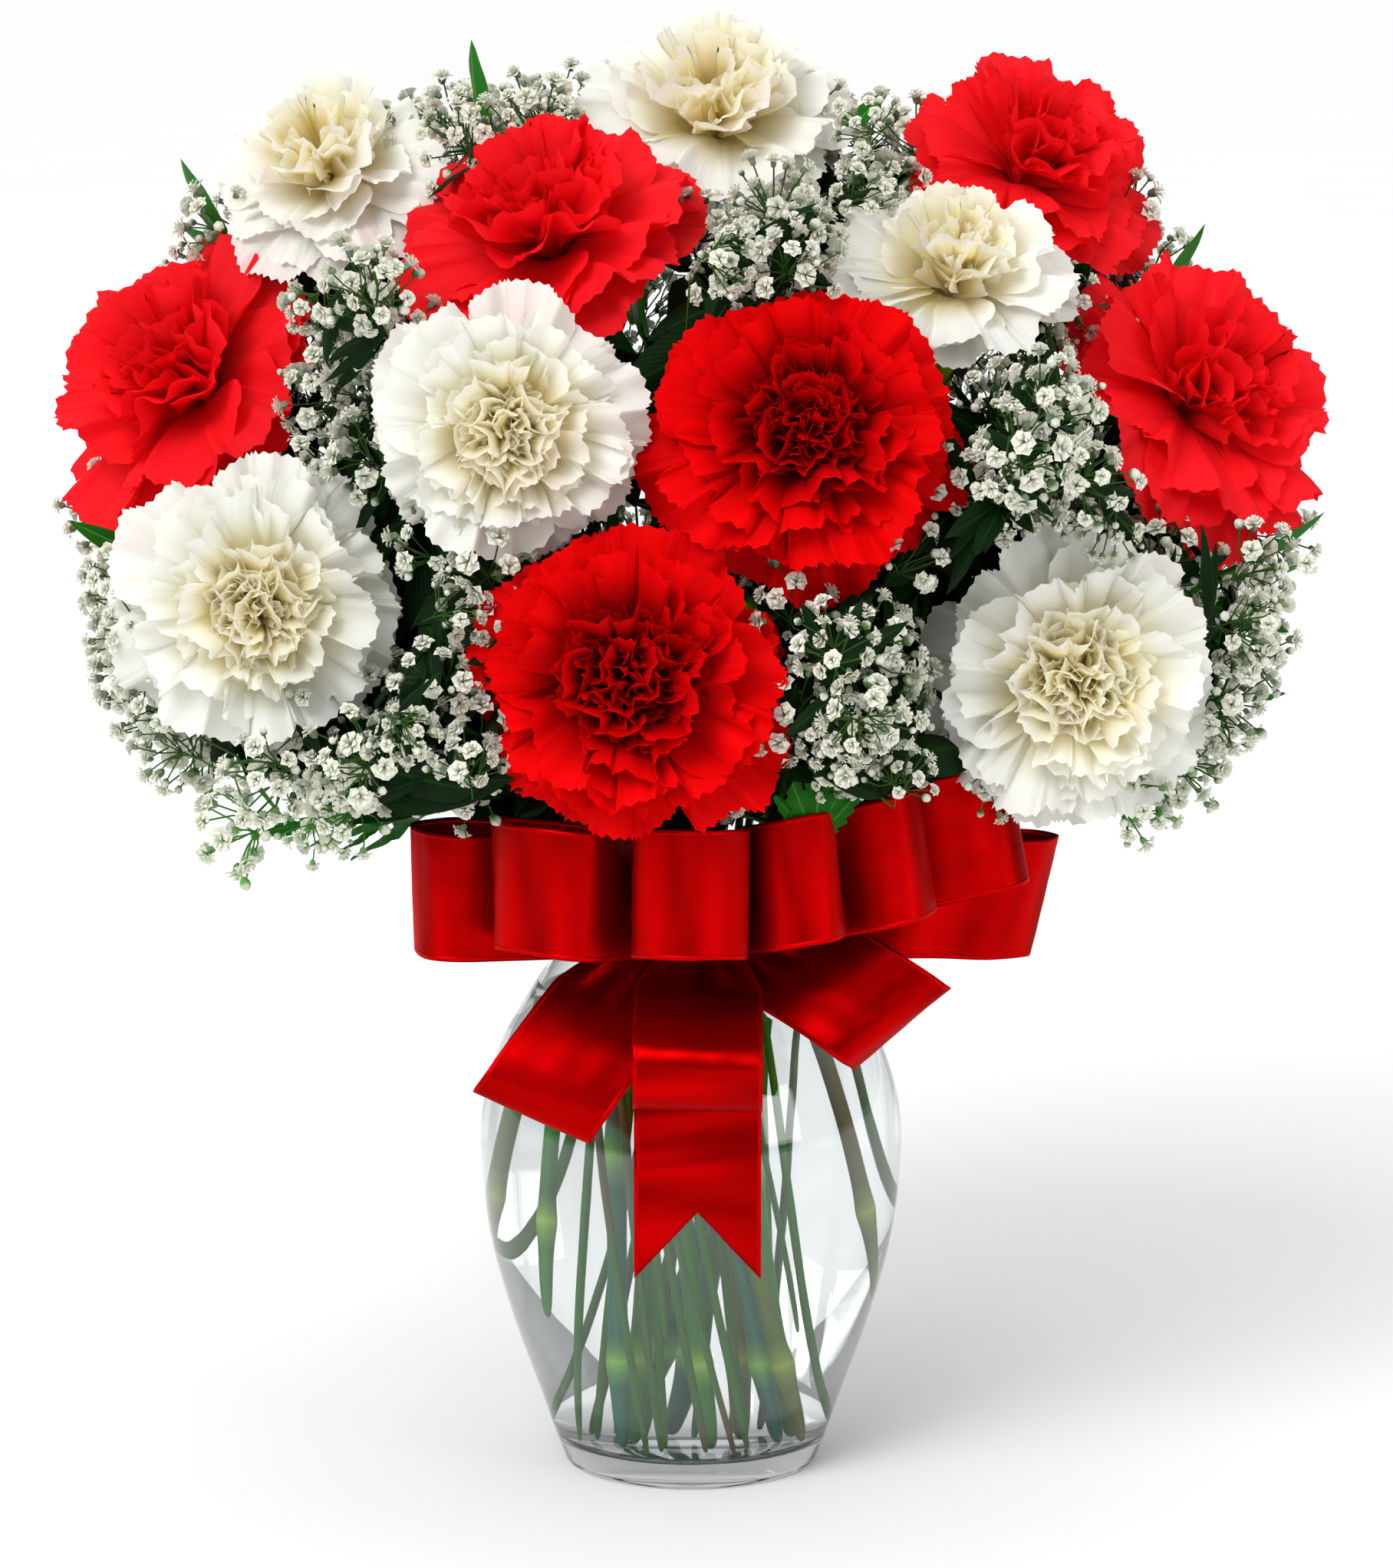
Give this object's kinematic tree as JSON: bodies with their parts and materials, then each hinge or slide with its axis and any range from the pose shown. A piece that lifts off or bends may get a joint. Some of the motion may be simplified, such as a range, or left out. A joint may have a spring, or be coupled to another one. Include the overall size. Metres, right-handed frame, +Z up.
{
  "type": "carnations in a vase",
  "caption": "Rounded bouquet of red and white carnations with baby's breath and cut greens in a clear glass ginger vase with a red satin bow.",
  "frame": {"origin": "centre of the flat face under the vase's foot", "axes": "+Z up along the vase's axis, -Y towards the front where the bow is, +X to the right of someone looking at the front"},
  "size_m": [0.3871, 0.275, 0.4415],
  "materials": {
    "vase_glass": "clear polished glass with a thick foot",
    "white_petals": "soft matt petals, creamy at the heart, with fine pleats and pinked edges",
    "red_petals": "velvety matt scarlet petals with fine pleats and pinked edges",
    "carnation_stems": "smooth waxy blue-green stems with paler swollen nodes",
    "babys_breath_florets": "small matt white double florets on thin green twigs",
    "leaves": "glossy dark green leaves with a pale midrib",
    "fern": "leathery toothed leaflets, half gloss",
    "red_satin": "bright red satin ribbon with woven edges"
  },
  "bodies": {
    "root": {"babys_breath_back_left": "babys_breath_florets", "babys_breath_back_low": "babys_breath_florets", "babys_breath_back_right": "babys_breath_florets", "babys_breath_centre": "babys_breath_florets", "babys_breath_far_left": "babys_breath_florets", "babys_breath_far_right": "babys_breath_florets", "babys_breath_front_left": "babys_breath_florets", "babys_breath_front_right": "babys_breath_florets", "babys_breath_left": "babys_breath_florets", "babys_breath_right": "babys_breath_florets", "babys_breath_top_left": "babys_breath_florets", "babys_breath_top_right": "babys_breath_florets", "bow_loop_far_left": "red_satin", "bow_loop_far_right": "red_satin", "bow_loop_left": "red_satin", "bow_loop_low_left": "red_satin", "bow_loop_low_middle": "red_satin", "bow_loop_low_right": "red_satin", "bow_loop_middle": "red_satin", "bow_loop_right": "red_satin", "bow_loop_side_right": "red_satin", "bow_loop_top_right": "red_satin", "bow_tail": "red_satin", "bow_tie": "red_satin", "carnation_head_red_1": "red_petals", "carnation_head_red_2": "red_petals", "carnation_head_red_3": "red_petals", "carnation_head_red_4": "red_petals", "carnation_head_red_5": "red_petals", "carnation_head_red_6": "red_petals", "carnation_head_white_1": "white_petals", "carnation_head_white_2": "white_petals", "carnation_head_white_3": "white_petals", "carnation_head_white_4": "white_petals", "carnation_head_white_5": "white_petals", "carnation_head_white_6": "white_petals", "carnation_stem_red_1": "carnation_stems", "carnation_stem_red_2": "carnation_stems", "carnation_stem_red_3": "carnation_stems", "carnation_stem_red_4": "carnation_stems", "carnation_stem_red_5": "carnation_stems", "carnation_stem_red_6": "carnation_stems", "carnation_stem_white_1": "carnation_stems", "carnation_stem_white_2": "carnation_stems", "carnation_stem_white_3": "carnation_stems", "carnation_stem_white_4": "carnation_stems", "carnation_stem_white_5": "carnation_stems", "carnation_stem_white_6": "carnation_stems", "fern_tip_back": "fern", "fern_tip_front": "fern", "fern_tip_low_left": "fern", "fern_tip_low_right": "fern", "leaf_sprig_back": "leaves", "leaf_sprig_left": "leaves", "leaf_sprig_low_left": "leaves", "leaf_sprig_low_right": "leaves", "leaf_sprig_right": "leaves", "leaf_sprig_top_left": "leaves", "leaf_sprig_top_right": "leaves", "vase": "vase_glass"}
  },
  "joints": []
}
